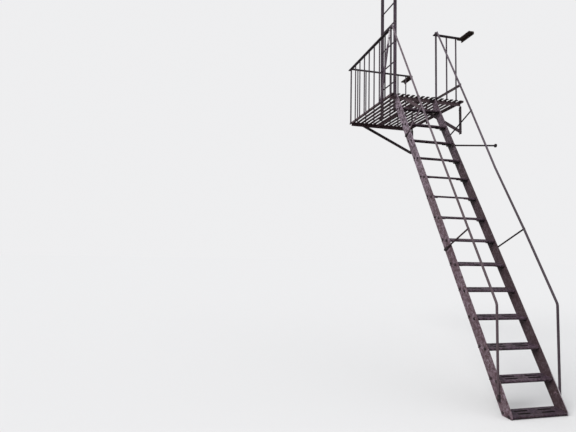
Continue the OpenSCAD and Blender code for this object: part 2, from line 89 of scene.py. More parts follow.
class Finish:
    """A procedural material, laid out in the part's own metres."""

    def __init__(self, name, specular):
        self.material = bpy.data.materials.new(name)
        self.material.use_nodes = True
        self.tree = self.material.node_tree
        self.shader = self.tree.nodes["Principled BSDF"]
        self.shader.inputs["Specular IOR Level"].default_value = specular
        self.place = self.node("ShaderNodeTexCoord", out="Object")
        self.facing = self.node("ShaderNodeNewGeometry", out="Normal")

    def node(self, kind, settings=None, sockets=None, out=0):
        made = self.tree.nodes.new(kind)
        for setting, value in (settings or {}).items():
            setattr(made, setting, value)
        for socket, value in (sockets or {}).items():
            if isinstance(value, Tone):
                self.tree.links.new(value.socket, made.inputs[socket])
            else:
                made.inputs[socket].default_value = value
        return Tone(self, made.outputs[out])

    def noise(self, scale, detail, shift, stretch=(1, 1, 1)):
        """Blotches, scale of them to the metre; shift slides them along."""
        place = self.node("ShaderNodeVectorMath", {"operation": "MULTIPLY_ADD"},
                          {0: self.place, 1: stretch, 2: (shift, 1.7 * shift, 2.3 * shift)})
        return self.node("ShaderNodeTexNoise", None,
                         {"Vector": place, "Scale": scale, "Detail": detail}, "Fac")

    def maths(self, operation, first, second=0.0):
        return self.node("ShaderNodeMath", {"operation": operation}, {0: first, 1: second})

    def along(self, axis, vector=None):
        part = "XYZ".index(axis)
        return self.node("ShaderNodeSeparateXYZ", None, {0: vector or self.place}, part)

    def step(self, value, low, high):
        """Rises smoothly from 0 at low to 1 at high."""
        return self.node("ShaderNodeMapRange", {"interpolation_type": "SMOOTHSTEP"},
                         {0: value, 1: low, 2: high})

    def blend(self, share, first, second):
        """Mixes two colours; 6 and 7 are the places of the mix node's colours."""
        colours = [c if isinstance(c, Tone) else (*c, 1) for c in (first, second)]
        return self.node("ShaderNodeMix", {"data_type": "RGBA"},
                         {0: share, 6: colours[0], 7: colours[1]}, 2)

    def give(self, **sockets):
        for name, value in sockets.items():
            self.tree.links.new(value.socket, self.shader.inputs[name.replace("_", " ")])


def tint(colour, by):
    return tuple(by * c for c in colour)


rust_brown = (0.060, 0.026, 0.016)


def old_paint(name, deep, faded, bare=rust_brown, flaking=0.5, worn=0.5, streaks=0.4, dust=0.3,
              shift=0.0, speckle=0.4, specks=88, places=(), cover=None, specular=0.35):
    """Brushed oil paint gone chalky: faded in clouds, streaked by rain, chipped to rust at edges.

    Places lists the stretches that differ: axis, where it begins, where it is full, colour, share,
    and how patchy it is. Cover is a mask and the colour of what lies over all of it there."""
    f = Finish(name, specular)
    rounding, relief = 0.0018, 0.0012
    rounded = f.node("ShaderNodeBevel", {"samples": 4}, {"Radius": rounding})
    edge = 1.0 - f.node("ShaderNodeVectorMath", {"operation": "DOT_PRODUCT"},
                        {0: rounded, 1: f.facing}, 1)
    up = f.along("Z", f.facing)
    clouds = f.noise(2.6, 3, shift)
    mottle = f.noise(31, 5, shift)
    runs = f.noise(17, 3, shift, stretch=(3.2, 3.2, 0.3))
    grain = f.noise(420, 2, shift)

    # The coat: faded clouds, rain runs, rust stains, dust on what faces up, pale and dark specks.
    dark = tint(deep, 0.6)
    colour = f.blend(f.step(0.45 * clouds + 0.55 * mottle, 0.40, 0.60), deep, faded)
    colour = f.blend(streaks * f.step(runs, 0.50, 0.68), colour, dark)
    stained = tuple(0.55 * d + 0.45 * b for d, b in zip(deep, bare))
    stains = f.step(f.noise(11, 4, shift + 2), 0.53, 0.66)
    colour = f.blend(0.6 * streaks * stains, colour, stained)
    settled = dust * f.step(up, 0.55, 0.95) * f.step(mottle, 0.30, 0.70)
    colour = f.blend(settled, colour, tint(faded, 1.4))
    spots = f.noise(specks, 3, shift + 1)
    colour = f.blend(speckle * f.step(spots, 0.50, 0.60), colour, tint(faded, 1.5))
    colour = f.blend(speckle * f.step(spots, 0.48, 0.38), colour, dark)
    for axis, begin, full, tone, share, patchy in places:
        mask = share * f.step(f.along(axis) + 0.03 * (mottle - 0.5), begin, full)
        if patchy:
            gone = 0.38 + 0.2 * patchy
            mask = mask * f.step(f.noise(48, 3, shift + 12, (1, 1, 0.5)), gone, gone + 0.04)
        colour = f.blend(mask, colour, tone)

    # The damage: chips down to the iron, chips down to an older pale coat, edges rubbed bare.
    patches = f.step(f.noise(7.5, 2, shift + 3), 0.42, 0.62)
    chips = flaking * f.step(f.noise(118, 3, shift + 5), 0.57, 0.60) * patches
    pale_chips = flaking * f.step(f.noise(150, 2, shift + 8), 0.60, 0.63) * patches
    wear = f.step(edge, 0.03, 0.16) * f.step(f.noise(58, 4, shift + 9), 0.62 - 0.3 * worn, 0.70)
    colour = f.blend(chips, colour, bare)
    colour = f.blend(0.8 * pale_chips, colour, tuple(0.6 * c + 0.16 for c in faded))
    rubbed = f.blend(f.step(grain, 0.45, 0.55), bare, tint(faded, 1.7))
    colour = f.blend(wear, colour, rubbed)
    if cover:
        mask, tone = cover
        colour = f.blend(mask(f), colour, tone)
    rough = 0.55 + 0.20 * mottle + 0.15 * chips
    height = 0.5 * mottle + 0.10 * grain - 0.75 * chips - 0.35 * pale_chips - 0.3 * wear
    normal = f.node("ShaderNodeBump", None,
                    {"Strength": 0.5, "Distance": relief, "Height": height, "Normal": rounded})
    f.give(Base_Color=colour, Roughness=rough, Normal=normal)
    return f.material


def coat(material, *names):
    """Paints CAD pieces by the names of their nodes."""
    for name in names:
        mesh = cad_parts[name].data
        mesh.materials.clear()
        mesh.materials.append(material)


def turned(mesh, profile, at, axis, sides, spin=0.0):
    """Adds a turned form; its profile lists (radius, height) along the axis from its seat."""
    lay = Vector(axis).normalized().to_track_quat("Z", "Y").to_matrix()
    rings = []
    for radius, height in profile:
        angles = [spin + 2 * math.pi * k / sides for k in range(sides if radius > 1e-6 else 1)]
        rings.append([mesh.verts.new(Vector(at) + lay @ Vector((
            radius * math.cos(a), radius * math.sin(a), height))) for a in angles])
    for low, high in zip(rings, rings[1:]):
        for k in range(sides):
            corners = [low[k % len(low)], low[(k + 1) % len(low)],
                       high[(k + 1) % len(high)], high[k % len(high)]]
            mesh.faces.new([v for i, v in enumerate(corners) if v not in corners[:i]])
    if len(rings[0]) > 1:
        mesh.faces.new(rings[0][::-1])
    if len(rings[-1]) > 1:
        mesh.faces.new(rings[-1])


def hex_nut(mesh, at, axis, across, spin, stud=0.008):
    """A washer, a nut and the end of the threaded stud that stands out of it."""
    r = across / math.sqrt(3)
    seat, pitch = 0.0015, 0.0016
    top = seat + 0.86 * r
    turned(mesh, [(1.4 * r, 0), (1.4 * r, 0.0018), (1.3 * r, 0.0024)], at, axis, 20)
    turned(mesh, [(0.9 * r, seat), (r, seat + 0.12 * r), (r, top - 0.12 * r), (0.88 * r, top),
                  (0.56 * r, top)], at, axis, 6, spin)
    thread = []
    for turn in range(int(stud / pitch)):
        crest = seat + top + pitch * turn
        thread += [(0.54 * r, crest - 0.0012), (0.48 * r, crest - 0.0004)]
    turned(mesh, thread + [(0.40 * r, top + stud), (0, top + stud)], at, axis, 12)


def rivet(mesh, at, axis, radius):
    """A snap head, hammered up."""
    rise = 0.62 * radius
    steps = [(math.cos(a), math.sin(a)) for a in (0, 0.35, 0.7, 1.05, 1.35)]
    turned(mesh, [(radius * c, rise * s) for c, s in steps] + [(0, rise)], at, axis, 12)


def piece(name, mesh, material):
    """Makes a piece of the part from a mesh, rides it on the frame and gives it its finish."""
    bmesh.ops.recalc_face_normals(mesh, faces=mesh.faces)
    for face in mesh.faces:
        face.smooth = True
    crease = 0.6
    for line in mesh.edges:
        if len(line.link_faces) == 2 and line.calc_face_angle(0) > crease:
            line.smooth = False
    data = bpy.data.meshes.new(name)
    mesh.to_mesh(data)
    mesh.free()
    made = bpy.data.objects.new(name, data)
    bpy.context.scene.collection.objects.link(made)
    data.materials.append(material)
    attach(made, "root")
    return made


# Old maroon paint, painted darker than on the stair as painted shade under the floor.
iron_paint_and_shade = old_paint("old maroon and painted shade on the brackets",
                       (0.016, 0.008, 0.010), (0.036, 0.022, 0.028),
                       flaking=0.45, worn=0.55, streaks=0.5)
brace_iron = old_paint("maroon on the near brace",
                       (0.026, 0.016, 0.020), (0.052, 0.034, 0.041),
                       flaking=0.45, worn=0.55, streaks=0.4, shift=3,
                       places=[("Y", -0.56, -0.70, (0.17, 0.12, 0.13), 0.8, 0)])
fixing_paint = old_paint("painted bolt heads",
                         (0.016, 0.010, 0.012), (0.036, 0.024, 0.028), (0.055, 0.024, 0.015),
                         flaking=0.7, worn=0.8, streaks=0.2, dust=0.2, shift=11)
coat(iron_paint_and_shade, "bracket_leg_near", "bracket_leg_far", "bracket_brace_far")
coat(brace_iron, "bracket_brace_near")

angle_thickness, rivet_inset = 0.006, 0.022
anchor_rise, anchor_across = 0.130, 0.019
bracket_anchors = bmesh.new()
brace_rivets = bmesh.new()
for leg, brace, out in (("bracket_leg_near", "bracket_brace_near", 1),
                        ("bracket_leg_far", "bracket_brace_far", -1)):
    low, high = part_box(leg)
    middle = (low.x + high.x) / 2
    for z in (-anchor_rise, anchor_rise):
        at = (middle, -angle_thickness, z)
        hex_nut(bracket_anchors, at, (0, -1, 0), anchor_across, spin=0.3 + z)
    low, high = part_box(brace)
    face, far_side = (high.x, low.x) if out > 0 else (low.x, high.x)
    for y, z in ((high.y - rivet_inset, low.z + rivet_inset),
                 (low.y + rivet_inset, high.z - rivet_inset)):
        rivet(brace_rivets, (face, y, z), (out, 0, 0), radius=0.010)
        rivet(brace_rivets, (far_side - out * angle_thickness, y, z), (-out, 0, 0), radius=0.009)
piece("bracket_anchors", bracket_anchors, fixing_paint)
piece("brace_rivets", brace_rivets, fixing_paint)

# Floor frame: an angle bar across each end and a flat bar along each edge carry fifteen flat
# slats. An angle joist hangs between the end bars on riveted clips, and snap rivets hold the
# slats. Feet have worn the slats' tops, and their ends over the near end bar are darker.
# Below z 0.186 the bars are painted lighter: a painted highlight along their lit lower edges.
frame_paint_and_highlight = old_paint("dark maroon and painted highlight on the floor frame",
                        (0.048, 0.026, 0.030), (0.115, 0.075, 0.084), (0.060, 0.027, 0.017),
                        flaking=0.5, worn=0.6, streaks=0.5, speckle=0.7,
                        places=[("Z", 0.198, 0.186, (0.150, 0.104, 0.116), 0.75, 0.3)])
# Their ends over the near end bar, beyond x 0.02, are painted darker.
slat_paint = old_paint("floor slats worn by feet",
                       (0.040, 0.022, 0.026), (0.085, 0.058, 0.066),
                       flaking=0.55, worn=0.9, streaks=0.35, dust=0.5, shift=4,
                       places=[("X", 0.020, 0.060, (0.020, 0.012, 0.014), 0.7, 0)])
coat(frame_paint_and_highlight, "end_bar_near", "end_bar_far", "edge_bar_outer", "edge_bar_wall", "floor_joist")
coat(slat_paint, "floor_slats")


def plate(mesh, outline, at, side, up, thickness):
    """Adds a form cut from flat stock: an outline along side and up, thick along side x up."""
    side, up = Vector(side), Vector(up)
    layers = [[mesh.verts.new(Vector(at) + side * u + up * v + side.cross(up) * t)
               for u, v in outline] for t in (0, thickness)]
    mesh.faces.new(layers[0][::-1])
    mesh.faces.new(layers[1])
    for k in range(len(outline)):
        n = (k + 1) % len(outline)
        mesh.faces.new((layers[0][k], layers[0][n], layers[1][n], layers[1][k]))


def angle_section(leg, t):
    """Section of a rolled angle t thick, heel at the origin, with root fillet and rounded toes."""
    half = [(leg, 0), (leg, 0.55 * t), (leg - 0.2 * t, 0.9 * t), (leg - 0.5 * t, t),
            (1.9 * t, t), (1.4 * t, 1.12 * t)]
    return [(0, 0)] + half + [(v, u) for u, v in half[::-1]]


first_slat, slat_pitch, slat_rivet = -0.042, 0.071, 0.0075
slats_low, slats_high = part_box("floor_slats")
slat_middles = [first_slat - slat_pitch * i for i in range(15)]
slat_rivets = bmesh.new()
for bar in ("end_bar_near", "end_bar_far"):
    low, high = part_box(bar)
    middle = (low.x + high.x) / 2
    for y in slat_middles:
        rivet(slat_rivets, (middle, y, slats_high.z), (0, 0, 1), slat_rivet)
        rivet(slat_rivets, (middle, y, high.z - angle_thickness), (0, 0, -1), slat_rivet)
joist_low, joist_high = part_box("floor_joist")
joist_slat, first_joist_rivet, joist_pitch = slat_middles[8], 0.17, 0.255
for k in range(5):
    x = joist_low.x + first_joist_rivet + joist_pitch * k
    rivet(slat_rivets, (x, joist_slat, slats_high.z), (0, 0, 1), slat_rivet)
    rivet(slat_rivets, (x, joist_slat, joist_high.z - angle_thickness), (0, 0, -1), slat_rivet)
piece("slat_rivets", slat_rivets, fixing_paint)

clip_leg, clip_thickness, clip_low, clip_rivet_out = 0.038, 0.005, 0.184, 0.024
joist_clips = bmesh.new()
for x, way in ((joist_high.x, -1), (joist_low.x, 1)):
    heel_z = clip_low if way < 0 else clip_low + clip_leg
    plate(joist_clips, angle_section(clip_leg, clip_thickness), (x, joist_low.y, heel_z),
          (way, 0, 0), (0, -1, 0), clip_leg)
    rivet_x, rivet_y = x + way * clip_rivet_out, joist_low.y - clip_rivet_out
    for at, axis in (((rivet_x, joist_low.y - clip_thickness), (0, -1, 0)),
                     ((rivet_x, joist_low.y + angle_thickness), (0, 1, 0)),
                     ((x + way * clip_thickness, rivet_y), (way, 0, 0)),
                     ((x - way * angle_thickness, rivet_y), (-way, 0, 0))):
        rivet(joist_clips, (*at, clip_low + clip_leg / 2), axis, radius=0.008)
piece("joist_clips", joist_clips, frame_paint_and_highlight)

# Railing round the balcony: flat top bars on square balusters, with stout posts at the corners
# of the stair opening and a flat brace that steadies the near corner post. The balusters are
# burred over on top of the rails and riveted below. The brace's head is painted near white in
# patches, as a painted highlight.
rail_paint = old_paint("faded mauve on the balusters",
                       (0.030, 0.021, 0.028), (0.070, 0.052, 0.066),
                       flaking=0.45, worn=0.5, streaks=0.35, shift=7)
top_rail_paint = old_paint("dark paint on the top rails",
                           (0.018, 0.012, 0.015), (0.048, 0.036, 0.044),
                           flaking=0.4, worn=0.6, streaks=0.4, shift=9)
# The near white patches at the brace's head are a painted highlight.
brace_paint_and_highlight = old_paint("flaking mauve and painted highlight on the corner brace",
                        (0.042, 0.025, 0.037), (0.076, 0.050, 0.072),
                        flaking=0.8, worn=0.6, streaks=0.3, shift=13,
                        places=[("Z", 0.90, 0.95, (0.80, 0.76, 0.78), 0.95, 0.15)])
coat(rail_paint, "corner_post_near", "corner_post_far", "front_balusters", "far_balusters",
     "near_balusters", "stair_post")
coat(top_rail_paint, "front_top_rail", "far_top_rail", "near_top_rail")
coat(brace_paint_and_highlight, "corner_brace")

rail_low, rail_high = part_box("front_top_rail")
first_baluster, baluster_pitch, baluster_face = -0.098, 0.172, -1.084
near_post, post_face, foot_z = 0.076, -1.088, 0.2275
near_row, far_row, front_row = 0.071, -1.308, -1.078
foot_rivet, post_rivet, burred_end = 0.0055, 0.007, 0.0065
railing_rivets = bmesh.new()
uprights = [(first_baluster - baluster_pitch * n, baluster_face, foot_rivet) for n in range(7)]
uprights += [(near_post, post_face, post_rivet), (far_row, post_face, post_rivet)]
for x, face, radius in uprights:
    rivet(railing_rivets, (x, face, foot_z), (0, -1, 0), radius)
    if x < 0:
        rivet(railing_rivets, (x, front_row, rail_high.z), (0, 0, 1), burred_end)
for x, bored, under in ((near_row, (1, 3), slats_low.z),
                        (far_row, range(1, 15, 2), slats_low.z - angle_thickness)):
    for y in (slat_middles[i] for i in bored):
        rivet(railing_rivets, (x, y, rail_high.z), (0, 0, 1), burred_end)
        rivet(railing_rivets, (x, y, under), (0, 0, -1), foot_rivet)
wall_end, cleat_flange = -0.040, 0.012
for x in (near_row, far_row):
    rivet(railing_rivets, (x, wall_end, rail_high.z), (0, 0, 1), radius=0.009)
    rivet(railing_rivets, (x, wall_end, rail_low.z - cleat_flange), (0, 0, -1), radius=0.009)
plate_x, plate_y, plate_thickness = 0.073, -0.4187, 0.006
for off in (-0.033, 0.033):
    at = (plate_x, plate_y + off, slats_high.z + plate_thickness)
    rivet(railing_rivets, at, (0, 0, 1), radius=0.006)
piece("railing_rivets", railing_rivets, fixing_paint)

brace_face, brace_head, brace_foot = -1.096, (0.067, 1.075), (-0.191, foot_z)
corner_brace_bolts = bmesh.new()
for x, z in (brace_head, brace_foot):
    rivet(corner_brace_bolts, (x, brace_face, z), (0, -1, 0), radius=0.0078)
piece("corner_brace_bolts", corner_brace_bolts, fixing_paint)

# Rusty irons on the wall: the angle cleats that hold the ends of the top rails, and the long flat
# bar a little above the floor, each held by two anchor bolts. Their paint has mostly come away.
cleat_iron = old_paint("rusted rail cleats",
                       (0.020, 0.011, 0.007), (0.050, 0.034, 0.025), (0.060, 0.026, 0.014),
                       flaking=0.9, worn=0.9, streaks=0.6, shift=15)
bar_iron = old_paint("rusted wall bar",
                     (0.020, 0.010, 0.010), (0.040, 0.022, 0.026), (0.075, 0.032, 0.018),
                     flaking=0.9, worn=0.9, streaks=0.7, shift=17)
coat(cleat_iron, "rail_wall_plates")
coat(bar_iron, "wall_bar")

cleat_holes, cleat_hole_z = (0.114, 0.218, -1.351, -1.455), 1.079
bar_holes, bar_hole_z, bar_thickness = (-1.217, -0.075), 0.485, 0.008
wall_anchors = bmesh.new()
for x in cleat_holes:
    at = (x, -cleat_flange, cleat_hole_z)
    hex_nut(wall_anchors, at, (0, -1, 0), across=0.0145, spin=3 * x, stud=0.006)
for x in bar_holes:
    hex_nut(wall_anchors, (x, -bar_thickness, bar_hole_z), (0, -1, 0), anchor_across, spin=5 * x)
piece("wall_anchors", wall_anchors, cleat_iron)

# Stringers: two flat bars that carry the stair, each hung on the near end bar by a bolted angle
# clip, with one nut inside its foot. The outer bar has weathered pale and chalky. The inner one
# is painted dark, partly as painted shade where it stands nearer the wall, and its front edge is
# scraped pale near its foot.
stringer_paint = old_paint("chalky mauve on the outer stringer",
                           (0.085, 0.056, 0.073), (0.245, 0.192, 0.232),
                           flaking=0.9, worn=0.6, streaks=0.45, shift=19, speckle=0.8, specks=46,
                           places=[("Z", 0.0, -1.0, (0.060, 0.031, 0.037), 0.45, 0.5),
                                   ("Z", -0.2, -1.4, (0.096, 0.050, 0.056), 0.48, 0)])


def scraped_edge(f):
    """The front edge near the stair's foot."""
    return 0.9 * f.step(f.along("X", f.facing), 0.70, 0.82) * f.step(f.along("Z"), -2.80, -2.90)


# Painted darker than the outer stringer, partly as painted shade nearer the wall.
inner_stringer_paint_and_shade = old_paint("maroon and painted shade on the inner stringer",
                        (0.044, 0.028, 0.037), (0.120, 0.088, 0.108),
                        flaking=0.5, worn=0.5, streaks=0.5, shift=23, speckle=0.8, specks=46,
                        places=[("Z", -0.1, -1.4, (0.020, 0.009, 0.011), 0.6, 0.5),
                                ("Z", -0.1, -1.2, (0.046, 0.023, 0.026), 0.70, 0)],
                        cover=(scraped_edge, (0.42, 0.39, 0.41)))
coat(stringer_paint, "stringer_outer")
coat(inner_stringer_paint_and_shade, "stringer_inner")
coat(iron_paint_and_shade, "stringer_clips")


def hex_head(mesh, at, axis, across, spin):
    """A washer and a chamfered bolt head on it."""
    r = across / math.sqrt(3)
    seat = 0.0015
    turned(mesh, [(1.28 * r, 0), (1.28 * r, 0.0018), (1.18 * r, 0.0023)], at, axis, 20)
    turned(mesh, [(r, seat), (r, seat + 0.5 * r), (0.88 * r, seat + 0.68 * r),
                  (0, seat + 0.70 * r)], at, axis, 6, spin)


# Each side of the stair, outer then inner: its outward face, its inside face, the way in.
stair_sides = ((-0.988, -0.980, 1), (-0.430, -0.438, -1))
side_bolt_x, side_bolt_z, bolt_tail = 0.054, 0.205, 0.0085
end_bar_face, end_bolt_in, end_bolt_z = 0.025, 0.030, 0.203
clip_bolts = bmesh.new()
for face, inside, way in stair_sides:
    leg_face = inside + way * angle_thickness
    hex_head(clip_bolts, (side_bolt_x, face, side_bolt_z), (0, -way, 0), across=0.019, spin=0.5)
    rivet(clip_bolts, (side_bolt_x, leg_face, side_bolt_z), (0, way, 0), bolt_tail)
    y = inside + way * end_bolt_in
    at = (end_bar_face + angle_thickness, y, end_bolt_z)
    hex_head(clip_bolts, at, (1, 0, 0), across=0.017, spin=0.2)
    rivet(clip_bolts, (end_bar_face - angle_thickness, y, end_bolt_z), (-1, 0, 0), bolt_tail)
piece("clip_bolts", clip_bolts, fixing_paint)

foot_nut_x, foot_nut_z = (1.890, 1.9375), -3.0324
foot_nuts = bmesh.new()
for x, (_, inside, way) in zip(foot_nut_x, stair_sides):
    hex_nut(foot_nuts, (x, inside, foot_nut_z), (0, way, 0), across=0.019, spin=0.4, stud=0.005)
piece("foot_nuts", foot_nuts, stringer_paint)

# Treads: fourteen pressed pans, tilted and slotted, bolted between the stringers over rolled
# angle cleats, but for the last, which lies on the ground. Two bolt heads show on the stringers
# for each. Feet have worn their tops. The slots are ringed with painted shade, and in the six
# lowest a near black sheet stands in each slot as painted shade. The lowest tread is painted
# darker, also as painted shade.
tread_count, going, riser, tilt = 14, 0.144, 0.245, math.radians(9)
first_x, first_z, stair_y = 0.120, 0.036, -0.709
slot_rows, slot_y, slot_reach, slot_radius = (-0.0204, 0.0231), 0.1192, 0.058, 0.007


def slot_painted_shade(f):
    """Painted shade in and round the slots: how near a place is to the line between a slot's ends.
    """
    x, y, z = (f.along(axis) for axis in "XYZ")
    number = f.maths("ROUND", (x - first_x) * (1 / going))
    ahead = (math.cos(tilt) * (x - first_x - going * number)
             - math.sin(tilt) * (z - first_z + riser * number))
    off_row = f.maths("MINIMUM", *(f.maths("ABSOLUTE", ahead - row) for row in slot_rows))
    off_slot = f.maths("ABSOLUTE", f.maths("ABSOLUTE", y - stair_y) - slot_y) - slot_reach
    off_end = f.maths("MAXIMUM", off_slot, 0.0)
    distance = f.maths("SQRT", off_row * off_row + off_end * off_end)
    return 0.92 * f.step(distance, 0.0125, 0.0085)


# Maroon paint; the cover rings the slots with painted shade.
tread_paint_and_shade = old_paint("maroon and painted shade on the treads",
                        (0.019, 0.010, 0.015), (0.065, 0.041, 0.057),
                        flaking=0.6, worn=0.9, streaks=0.4, dust=0.6, shift=27,
                        speckle=0.7, specks=52,
                        # The lowest tread, below z -3.06, is painted darker as painted shade.
                        places=[("Z", -3.06, -3.12, (0.022, 0.012, 0.019), 0.5, 0)],
                        cover=(slot_painted_shade, (0.006, 0.004, 0.005)), specular=0.2)
# Near black sheets set in the slots, as painted shade.
slot_shade_paint = old_paint("painted shade in the slots",
                        (0.004, 0.003, 0.003), (0.012, 0.009, 0.008),
                        flaking=0.0, worn=0.0, streaks=0.0, dust=0.0, shift=28, specular=0.0)
# Near black on the seat angles under the treads: dark paint and painted shade.
under_stair_paint_and_shade = old_paint("dark paint and painted shade under the stair",
                        (0.005, 0.003, 0.004), (0.014, 0.008, 0.010), (0.030, 0.014, 0.010),
                        flaking=0.5, worn=0.3, streaks=0.5, dust=0.0, shift=29)
# Worn bare bolt heads, painted extra pale as painted light, for they hang in shade under the
# cleats.
bare_bolt_and_light = old_paint("worn bolt heads with painted light",
                      (0.34, 0.30, 0.30), (0.62, 0.58, 0.58),
                      flaking=0.3, worn=0.2, shift=30)
treads = ["tread_%02d" % (k + 1) for k in range(tread_count)]
coat(tread_paint_and_shade, *treads)


def round_ended(radius, reach, parts):
    """Outline of a strip with round ends, whose centres lie reach from its middle."""
    angles = [math.pi * k / parts for k in range(parts + 1)]
    ends = [(radius * math.cos(a), radius * math.sin(a)) for a in angles]
    return [(u, v + reach) for u, v in ends] + [(-u, -v - reach) for u, v in ends]


cleat_section = [(0, 0), (0.070, 0), (0.070, 0.003), (0.0675, 0.006), (0.012, 0.006),
                 (0.0085, 0.0085), (0.006, 0.012), (0.006, 0.0195), (0.003, 0.022), (0, 0.022)]
cleat_start, cleat_length, bolt_across = -0.066, 0.112, 0.019
lip, pan_thickness, half_width, cleat_bolt_y = 0.020, 0.005, 0.271, 0.226
side_bolt_off, side_bolt_drop, shade_sheet_drop, shade_sheet_thickness = 0.036, 0.0125, 0.0042, 0.003
shank, slot_outline = [(0.005, 0.0002), (0.005, 0.0148)], round_ended(slot_radius, slot_reach, 6)
ahead = Vector((math.cos(tilt), 0, -math.sin(tilt)))
out = Vector((math.sin(tilt), 0, math.cos(tilt)))
tread_bolts = bmesh.new()
cleat_bolts = bmesh.new()
seat_angles = bmesh.new()
shade_sheets = bmesh.new()
for k in range(tread_count):
    middle = Vector((first_x + going * k, 0, first_z - riser * k))
    for off in (-side_bolt_off, side_bolt_off):
        seat = middle + off * ahead - side_bolt_drop * out
        for face, inside, way in stair_sides:
            at, tail_y = (seat.x, face, seat.z), inside + way * pan_thickness
            hex_head(tread_bolts, at, (0, -way, 0), bolt_across, spin=k + 20 * off)
            rivet(tread_bolts, (seat.x, tail_y, seat.z), (0, way, 0), radius=0.0065)
    if k < tread_count - 1:
        for way in (1, -1):
            heel = middle + Vector((0, stair_y - way * half_width, 0)) - lip * out
            section = [(way * u, -v) for u, v in cleat_section]
            plate(seat_angles, section, heel + cleat_start * ahead, (0, 1, 0), out, cleat_length)
            bolt = middle + Vector((0, stair_y - way * cleat_bolt_y, 0))
            under = bolt - (lip + angle_thickness) * out
            hex_head(cleat_bolts, under, -out, bolt_across, spin=k)
            turned(cleat_bolts, shank, bolt - lip * out, out, sides=12)
            rivet(tread_bolts, bolt, out, radius=0.010)
    # Near black sheets in the slots of the six lowest treads, as painted shade.
    if k >= tread_count - 6:
        for row in slot_rows:
            for y in (stair_y - slot_y, stair_y + slot_y):
                at = middle + Vector((0, y, 0)) + row * ahead - shade_sheet_drop * out
                plate(shade_sheets, slot_outline, at, ahead, (0, 1, 0), shade_sheet_thickness)
piece("tread_bolts", tread_bolts, fixing_paint)
piece("cleat_bolts", cleat_bolts, bare_bolt_and_light)
piece("slot_painted_shade", shade_sheets, slot_shade_paint)
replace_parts(piece("seat_angles", seat_angles, under_stair_paint_and_shade), "tread_cleats")

# Handrails: round bars from the knobs down beside the stair, turned upright at the bottom over
# bolted lugs, and riveted on rods that are forged flat where they cross the stringers. Hands
# have kept the bars smooth. The rods are black, and the upper outer one is painted pale mauve
# as painted light.
handrail_paint = old_paint("mauve on the outer handrail",
                           (0.096, 0.071, 0.084), (0.165, 0.128, 0.148),
                           flaking=0.3, worn=0.3, streaks=0.2, shift=33, speckle=0.25, specks=46,
                           places=[("Z", -0.2, -1.3, (0.072, 0.047, 0.054), 0.85, 0)])
inner_rail_paint = old_paint("dark mauve on the inner handrail",
                             (0.060, 0.044, 0.056), (0.112, 0.085, 0.106),
                             flaking=0.3, worn=0.3, streaks=0.2, shift=34, speckle=0.25, specks=46,
                             places=[("Z", -0.4, -1.3, (0.042, 0.028, 0.036), 0.85, 0)])


def upper_rod_painted_light(f):
    """Painted light on the upper rod on the outer side, from the stringer's face outwards."""
    return 0.85 * f.step(f.along("Y"), -0.9985, -1.0010) * f.step(f.along("Z"), -1.0, -0.9)


# Black paint, with painted light on the upper outer rod.
rod_paint_and_light = old_paint("black paint and painted light on the rods",
                      (0.008, 0.005, 0.006), (0.024, 0.017, 0.020),
                      flaking=0.4, worn=0.5, streaks=0.2, dust=0.15, shift=31,
                      places=[("Y", -0.9975, -0.9995, (0.044, 0.022, 0.027), 0.8, 0)],
                      cover=(upper_rod_painted_light, (0.30, 0.23, 0.27)))
coat(handrail_paint, "handrail_outer")
coat(inner_rail_paint, "handrail_inner")
coat(rod_paint_and_light, "handrail_rods", "handrail_feet")

# Where the handrails rest on the rods, outer then inner, and how far down the stringers, from
# their head, each pair of rods is bolted.
rod_pairs = ((((0.7795, -1.0421, -0.1614), (0.7950, -0.4118, -0.1540)), 0.700),
             (((1.5553, -1.0129, -1.5938), (1.5876, -0.4164, -1.5784)), 2.333))
stringer_head, descent = Vector((0.0001, 0, 0.240)), Vector((0.5069, 0, -0.8620))
rod_slope, rod_flat, tail_back, rail_above = math.radians(25.45), 0.008, 0.030, 0.0102
lean = Vector((math.cos(rod_slope), 0, math.sin(rod_slope)))
lug_x, lug_top, lug_bolt_drop = (1.916, 1.967), (-3.0197, -3.1065), 0.032
rod_rivets = bmesh.new()
for rests, down in rod_pairs:
    tail = stringer_head + down * descent - tail_back * lean
    for rest, (face, inside, way) in zip(rests, stair_sides):
        rivet(rod_rivets, Vector(rest) + rail_above * lean, lean, radius=0.0075)
        at = (tail.x, face - way * rod_flat, tail.z)
        hex_head(rod_rivets, at, (0, -way, 0), across=0.017, spin=down)
        rivet(rod_rivets, (tail.x, inside, tail.z), (0, way, 0), bolt_tail)
for x, z, (face, _, way) in zip(lug_x, lug_top, stair_sides):
    at = (x, face - way * rod_flat, z - lug_bolt_drop)
    hex_head(rod_rivets, at, (0, -way, 0), across=0.017, spin=0.2)
piece("rod_rivets", rod_rivets, fixing_paint)

# Wall tie: a round bar that keeps the stair from swaying. It is welded to a pad that a nut holds
# on the inner stringer and, at the wall, to a round flange with three screws.
tie_paint = old_paint("dark paint on the wall tie",
                      (0.007, 0.004, 0.006), (0.018, 0.012, 0.016),
                      flaking=0.4, worn=0.3, shift=35, speckle=0.2)
coat(tie_paint, "wall_tie")

tie_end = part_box("wall_tie")[1].x
flange_radius, flange_thickness, flange_z, screw_circle = 0.022, 0.012, -0.517, 0.016
nut_seat = (0.473, -0.438, -0.497)
tie_fixings = bmesh.new()
for k in range(3):
    turn = 0.6 + 2.1 * k
    x = tie_end - flange_radius + screw_circle * math.cos(turn)
    z = flange_z + screw_circle * math.sin(turn)
    rivet(tie_fixings, (x, -flange_thickness, z), (0, -1, 0), radius=0.004)
hex_nut(tie_fixings, nut_seat, (0, -1, 0), across=0.024, spin=0.3)
piece("tie_fixings", tie_fixings, fixing_paint)

